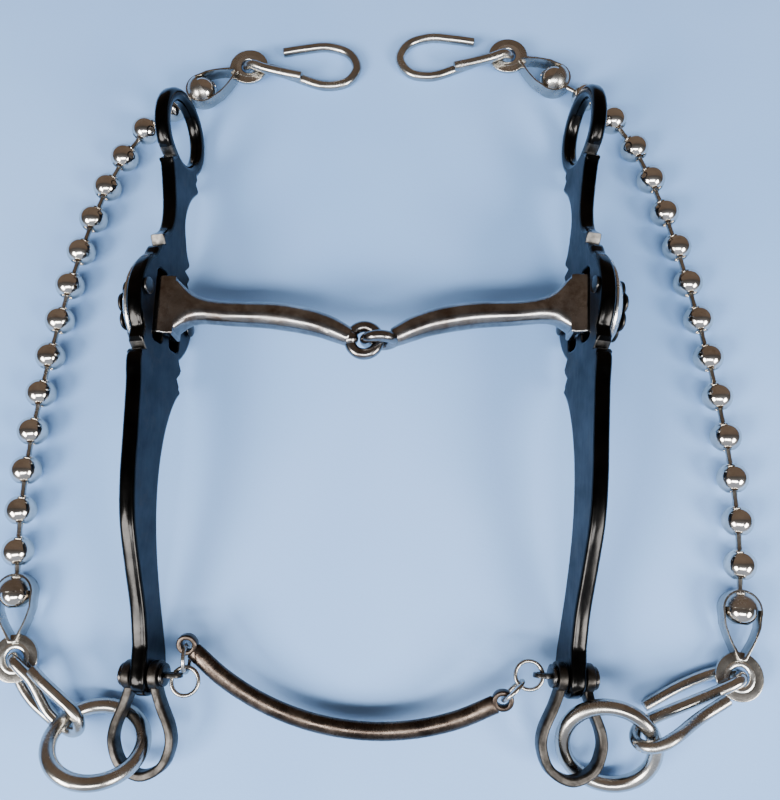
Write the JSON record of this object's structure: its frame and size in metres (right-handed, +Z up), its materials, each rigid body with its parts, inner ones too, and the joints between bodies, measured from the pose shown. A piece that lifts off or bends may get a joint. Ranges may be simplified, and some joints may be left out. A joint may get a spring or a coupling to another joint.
{
  "type": "curb bit",
  "caption": "Western loose-jaw curb bit with a jointed mouthpiece, scalloped shanks, conchos, slobber bar and ball rein chains.",
  "frame": {"origin": "bottom centre of the whole part as it lies on a table with its chains laid out", "axes": "+X across the mouth to the right cheek, +Y towards the headstall rings, +Z up off the table"},
  "size_m": [0.2324, 0.2564, 0.0357],
  "materials": {
    "blued_steel": "hot-blued flat steel, satin, blue-black with a brown cast",
    "dark_steel": "dark polished sweet iron",
    "browned_steel": "browned steel, satin, slightly pitted",
    "nickel": "nickel plate, bright with fine scratches",
    "concho_silver": "silver concho dome, softly polished"
  },
  "bodies": {
    "left_cheek": {"left_cheek": "blued_steel", "left_concho_plate": "concho_silver", "left_concho_rosette": "browned_steel", "left_shackle_pin": "dark_steel"},
    "right_cheek": {"right_cheek": "blued_steel", "right_concho_plate": "concho_silver", "right_concho_rosette": "browned_steel", "right_shackle_pin": "dark_steel"},
    "left_shackle": {"left_shackle": "browned_steel"},
    "right_shackle": {"right_shackle": "browned_steel"},
    "left_mouthpiece": {"left_mouthpiece": "dark_steel"},
    "right_mouthpiece": {"right_mouthpiece": "dark_steel"},
    "left_small_ring_1": {"left_small_ring_1": "nickel"},
    "left_small_ring_2": {"left_small_ring_2": "nickel"},
    "right_small_ring_1": {"right_small_ring_1": "nickel"},
    "right_small_ring_2": {"right_small_ring_2": "nickel"},
    "slobber_bar": {"slobber_bar": "browned_steel"},
    "left_lower_coupler": {"left_lower_coupler": "nickel"},
    "left_rein_ring": {"left_rein_ring": "nickel"},
    "left_lower_hook": {"left_lower_hook": "nickel"},
    "left_bead_01": {"left_bead_01": "nickel"},
    "left_bead_02": {"left_bead_02": "nickel"},
    "left_bead_03": {"left_bead_03": "nickel"},
    "left_bead_04": {"left_bead_04": "nickel"},
    "left_bead_05": {"left_bead_05": "nickel"},
    "left_bead_06": {"left_bead_06": "nickel"},
    "left_bead_07": {"left_bead_07": "nickel"},
    "left_bead_08": {"left_bead_08": "nickel"},
    "left_bead_09": {"left_bead_09": "nickel"},
    "left_bead_10": {"left_bead_10": "nickel"},
    "left_bead_11": {"left_bead_11": "nickel"},
    "left_bead_12": {"left_bead_12": "nickel"},
    "left_bead_13": {"left_bead_13": "nickel"},
    "left_bead_14": {"left_bead_14": "nickel"},
    "left_bead_15": {"left_bead_15": "nickel"},
    "left_bead_16": {"left_bead_16": "nickel"},
    "left_upper_coupler": {"left_upper_coupler": "nickel"},
    "left_upper_hook": {"left_upper_hook": "nickel"},
    "right_lower_coupler": {"right_lower_coupler": "nickel"},
    "right_rein_ring": {"right_rein_ring": "nickel"},
    "right_lower_hook": {"right_lower_hook": "nickel"},
    "right_bead_01": {"right_bead_01": "nickel"},
    "right_bead_02": {"right_bead_02": "nickel"},
    "right_bead_03": {"right_bead_03": "nickel"},
    "right_bead_04": {"right_bead_04": "nickel"},
    "right_bead_05": {"right_bead_05": "nickel"},
    "right_bead_06": {"right_bead_06": "nickel"},
    "right_bead_07": {"right_bead_07": "nickel"},
    "right_bead_08": {"right_bead_08": "nickel"},
    "right_bead_09": {"right_bead_09": "nickel"},
    "right_bead_10": {"right_bead_10": "nickel"},
    "right_bead_11": {"right_bead_11": "nickel"},
    "right_bead_12": {"right_bead_12": "nickel"},
    "right_bead_13": {"right_bead_13": "nickel"},
    "right_bead_14": {"right_bead_14": "nickel"},
    "right_bead_15": {"right_bead_15": "nickel"},
    "right_bead_16": {"right_bead_16": "nickel"},
    "right_upper_coupler": {"right_upper_coupler": "nickel"},
    "right_upper_hook": {"right_upper_hook": "nickel"}
  },
  "joints": [
    {"name": "left_jaw", "type": "hinge", "parent": "left_cheek", "child": "left_mouthpiece", "pos_m": [-0.06778, 0.01305, 0.01794], "axis": [0, 1, 0], "range_deg": [-8, 8]},
    {"name": "mouth_fold", "type": "hinge", "parent": "left_mouthpiece", "child": "right_mouthpiece", "pos_m": [-0.00098, 0.00255, 0.01794], "axis": [0, 1, 0], "range_deg": [-16, 16]},
    {"name": "right_jaw", "type": "hinge", "parent": "right_mouthpiece", "child": "right_cheek", "pos_m": [0.06582, 0.01305, 0.01794], "axis": [0.061, 0.9981, 0], "range_deg": [-8, 8]},
    {"name": "slobber_bar_swing", "type": "hinge", "parent": "left_cheek", "child": "slobber_bar", "pos_m": [-0.05387, -0.0947, 0.01155], "axis": [-0.9991, 0.0416, 0], "range_deg": [0, 30]},
    {"name": "left_small_ring_1_swing", "type": "hinge", "parent": "left_cheek", "child": "left_small_ring_1", "pos_m": [-0.05741, -0.09695, 0.01155], "axis": [0, 1, 0], "range_deg": [-6, 6]},
    {"name": "left_small_ring_2_swivel", "type": "hinge", "parent": "slobber_bar", "child": "left_small_ring_2", "pos_m": [-0.05387, -0.0884, 0.01155], "axis": [0, 0, 1], "range_deg": [0, 6]},
    {"name": "left_shackle_swing", "type": "hinge", "parent": "left_cheek", "child": "left_shackle", "pos_m": [-0.06637, -0.09695, 0.00997], "axis": [0.9848, 0, 0.1736], "range_deg": [0, 25]},
    {"name": "left_rein_ring_swivel", "type": "hinge", "parent": "left_shackle", "child": "left_rein_ring", "pos_m": [-0.06788, -0.12157, 0.01695], "axis": [0, 0, 1], "range_deg": [0, 4]},
    {"name": "left_lower_hook_swing", "type": "hinge", "parent": "left_rein_ring", "child": "left_lower_hook", "pos_m": [-0.08829, -0.10911, 0.00475], "axis": [0, 0, 1], "range_deg": [0, 8]},
    {"name": "left_lower_coupler_swivel", "type": "hinge", "parent": "left_lower_hook", "child": "left_lower_coupler", "pos_m": [-0.10751, -0.09332, 0.00475], "axis": [0, 0, 1], "range_deg": [0, 15]},
    {"name": "left_bead_01_turn", "type": "hinge", "parent": "left_lower_coupler", "child": "left_bead_01", "pos_m": [-0.10944, -0.07442, 0.00475], "axis": [0, 0, 1], "range_deg": [0, 6]},
    {"name": "left_bead_02_turn", "type": "hinge", "parent": "left_bead_01", "child": "left_bead_02", "pos_m": [-0.11053, -0.06542, 0.00475], "axis": [0, 0, 1], "range_deg": [0, 15]},
    {"name": "left_bead_03_lift", "type": "hinge", "parent": "left_bead_02", "child": "left_bead_03", "pos_m": [-0.11139, -0.05273, 0.00475], "axis": [1, 0.0049, 0], "range_deg": [0, 15]},
    {"name": "left_bead_04_turn", "type": "hinge", "parent": "left_bead_03", "child": "left_bead_04", "pos_m": [-0.11164, -0.04001, 0.00475], "axis": [0, 0, 1], "range_deg": [0, 15]},
    {"name": "left_bead_05_lift", "type": "hinge", "parent": "left_bead_04", "child": "left_bead_05", "pos_m": [-0.11119, -0.0273, 0.00475], "axis": [0.9958, -0.0919, 0], "range_deg": [0, 15]},
    {"name": "left_bead_06_turn", "type": "hinge", "parent": "left_bead_05", "child": "left_bead_06", "pos_m": [-0.11012, -0.01462, 0.00475], "axis": [0, 0, 1], "range_deg": [0, 15]},
    {"name": "left_bead_07_lift", "type": "hinge", "parent": "left_bead_06", "child": "left_bead_07", "pos_m": [-0.10867, -0.00199, 0.00475], "axis": [0.9901, -0.1406, 0], "range_deg": [0, 15]},
    {"name": "left_bead_08_turn", "type": "hinge", "parent": "left_bead_07", "child": "left_bead_08", "pos_m": [-0.10694, 0.01061, 0.00475], "axis": [0, 0, 1], "range_deg": [0, 15]},
    {"name": "left_bead_09_lift", "type": "hinge", "parent": "left_bead_08", "child": "left_bead_09", "pos_m": [-0.10509, 0.02319, 0.00475], "axis": [0.9809, -0.1944, 0], "range_deg": [0, 15]},
    {"name": "left_bead_10_turn", "type": "hinge", "parent": "left_bead_09", "child": "left_bead_10", "pos_m": [-0.10277, 0.0357, 0.00475], "axis": [0, 0, 1], "range_deg": [0, 15]},
    {"name": "left_bead_11_lift", "type": "hinge", "parent": "left_bead_10", "child": "left_bead_11", "pos_m": [-0.09996, 0.04811, 0.00475], "axis": [0.9575, -0.2883, 0], "range_deg": [0, 15]},
    {"name": "left_bead_12_turn", "type": "hinge", "parent": "left_bead_11", "child": "left_bead_12", "pos_m": [-0.09667, 0.06042, 0.00475], "axis": [0, 0, 1], "range_deg": [0, 15]},
    {"name": "left_bead_13_lift", "type": "hinge", "parent": "left_bead_12", "child": "left_bead_13", "pos_m": [-0.09216, 0.07235, 0.00475], "axis": [0.8551, -0.5185, 0], "range_deg": [0, 15]},
    {"name": "left_bead_14_turn", "type": "hinge", "parent": "left_bead_13", "child": "left_bead_14", "pos_m": [-0.08621, 0.0837, 0.00475], "axis": [0, 0, 1], "range_deg": [0, 15]},
    {"name": "left_bead_15_lift", "type": "hinge", "parent": "left_bead_14", "child": "left_bead_15", "pos_m": [-0.07791, 0.09361, 0.00475], "axis": [0.5314, -0.8471, 0], "range_deg": [0, 15]},
    {"name": "left_bead_16_turn", "type": "hinge", "parent": "left_bead_15", "child": "left_bead_16", "pos_m": [-0.06707, 0.10041, 0.00475], "axis": [0, 0, 1], "range_deg": [0, 15]},
    {"name": "left_upper_coupler_turn", "type": "hinge", "parent": "left_bead_16", "child": "left_upper_coupler", "pos_m": [-0.06398, 0.10235, 0.00475], "axis": [0, 0, 1], "range_deg": [0, 4]},
    {"name": "left_upper_hook_swivel", "type": "hinge", "parent": "left_upper_coupler", "child": "left_upper_hook", "pos_m": [-0.04788, 0.11245, 0.00475], "axis": [0, 0, 1], "range_deg": [-15, 15]},
    {"name": "right_small_ring_1_swing", "type": "hinge", "parent": "right_cheek", "child": "right_small_ring_1", "pos_m": [0.04876, -0.09611, 0.01155], "axis": [0.061, 0.9981, 0], "range_deg": [-6, 6]},
    {"name": "right_small_ring_2_swivel", "type": "hinge", "parent": "slobber_bar", "child": "right_small_ring_2", "pos_m": [0.0372, -0.10285, 0.01155], "axis": [0, 0, 1], "range_deg": [-6, 6]},
    {"name": "right_shackle_swing", "type": "hinge", "parent": "right_cheek", "child": "right_shackle", "pos_m": [0.0577, -0.09666, 0.00997], "axis": [0.983, -0.0601, -0.1736], "range_deg": [0, 25]},
    {"name": "right_rein_ring_swivel", "type": "hinge", "parent": "right_shackle", "child": "right_rein_ring", "pos_m": [0.05771, -0.12175, 0.00318], "axis": [0, 0, -1], "range_deg": [0, 4]},
    {"name": "right_lower_hook_swing", "type": "hinge", "parent": "right_rein_ring", "child": "right_lower_hook", "pos_m": [0.0779, -0.11099, 0.00475], "axis": [0, 0, -1], "range_deg": [0, 8]},
    {"name": "right_lower_coupler_swivel", "type": "hinge", "parent": "right_lower_hook", "child": "right_lower_coupler", "pos_m": [0.10715, -0.0967, 0.00475], "axis": [0, 0, -1], "range_deg": [0, 15]},
    {"name": "right_bead_01_turn", "type": "hinge", "parent": "right_lower_coupler", "child": "right_bead_01", "pos_m": [0.1093, -0.07782, 0.00475], "axis": [0, 0, -1], "range_deg": [0, 6]},
    {"name": "right_bead_02_turn", "type": "hinge", "parent": "right_bead_01", "child": "right_bead_02", "pos_m": [0.1106, -0.06836, 0.00475], "axis": [0, 0, -1], "range_deg": [0, 15]},
    {"name": "right_bead_03_lift", "type": "hinge", "parent": "right_bead_02", "child": "right_bead_03", "pos_m": [0.11153, -0.0552, 0.00475], "axis": [0.9999, 0.0123, 0], "range_deg": [0, 15]},
    {"name": "right_bead_04_turn", "type": "hinge", "parent": "right_bead_03", "child": "right_bead_04", "pos_m": [0.11153, -0.042, 0.00475], "axis": [0, 0, -1], "range_deg": [0, 15]},
    {"name": "right_bead_05_lift", "type": "hinge", "parent": "right_bead_04", "child": "right_bead_05", "pos_m": [0.11092, -0.02882, 0.00475], "axis": [0.9951, 0.0984, 0], "range_deg": [0, 15]},
    {"name": "right_bead_06_turn", "type": "hinge", "parent": "right_bead_05", "child": "right_bead_06", "pos_m": [0.10972, -0.01568, 0.00475], "axis": [0, 0, -1], "range_deg": [0, 15]},
    {"name": "right_bead_07_lift", "type": "hinge", "parent": "right_bead_06", "child": "right_bead_07", "pos_m": [0.10815, -0.00258, 0.00475], "axis": [0.9889, 0.1484, 0], "range_deg": [0, 15]},
    {"name": "right_bead_08_turn", "type": "hinge", "parent": "right_bead_07", "child": "right_bead_08", "pos_m": [0.10626, 0.01048, 0.00475], "axis": [0, 0, -1], "range_deg": [0, 15]},
    {"name": "right_bead_09_lift", "type": "hinge", "parent": "right_bead_08", "child": "right_bead_09", "pos_m": [0.10417, 0.02351, 0.00475], "axis": [0.9811, 0.1935, 0], "range_deg": [0, 15]},
    {"name": "right_bead_10_turn", "type": "hinge", "parent": "right_bead_09", "child": "right_bead_10", "pos_m": [0.10174, 0.03647, 0.00475], "axis": [0, 0, -1], "range_deg": [0, 15]},
    {"name": "right_bead_11_lift", "type": "hinge", "parent": "right_bead_10", "child": "right_bead_11", "pos_m": [0.09891, 0.04936, 0.00475], "axis": [0.9621, 0.2726, 0], "range_deg": [0, 15]},
    {"name": "right_bead_12_turn", "type": "hinge", "parent": "right_bead_11", "child": "right_bead_12", "pos_m": [0.09565, 0.06217, 0.00475], "axis": [0, 0, -1], "range_deg": [0, 15]},
    {"name": "right_bead_13_lift", "type": "hinge", "parent": "right_bead_12", "child": "right_bead_13", "pos_m": [0.0914, 0.07472, 0.00475], "axis": [0.8575, 0.5145, 0], "range_deg": [0, 15]},
    {"name": "right_bead_14_turn", "type": "hinge", "parent": "right_bead_13", "child": "right_bead_14", "pos_m": [0.08529, 0.08652, 0.00475], "axis": [0, 0, -1], "range_deg": [0, 15]},
    {"name": "right_bead_15_lift", "type": "hinge", "parent": "right_bead_14", "child": "right_bead_15", "pos_m": [0.07664, 0.0966, 0.00475], "axis": [0.5442, 0.839, 0], "range_deg": [0, 15]},
    {"name": "right_bead_16_turn", "type": "hinge", "parent": "right_bead_15", "child": "right_bead_16", "pos_m": [0.06559, 0.10377, 0.00475], "axis": [0, 0, -1], "range_deg": [0, 15]},
    {"name": "right_upper_coupler_turn", "type": "hinge", "parent": "right_bead_16", "child": "right_upper_coupler", "pos_m": [0.06252, 0.10575, 0.00475], "axis": [0, 0, -1], "range_deg": [0, 4]},
    {"name": "right_upper_hook_swivel", "type": "hinge", "parent": "right_upper_coupler", "child": "right_upper_hook", "pos_m": [0.04658, 0.11609, 0.00475], "axis": [0, 0, 1], "range_deg": [-15, 15]}
  ],
  "couplings": [
    {"joint": "mouth_fold", "follows": "left_jaw", "ratio": -2},
    {"joint": "right_jaw", "follows": "left_jaw", "ratio": 1}
  ]
}
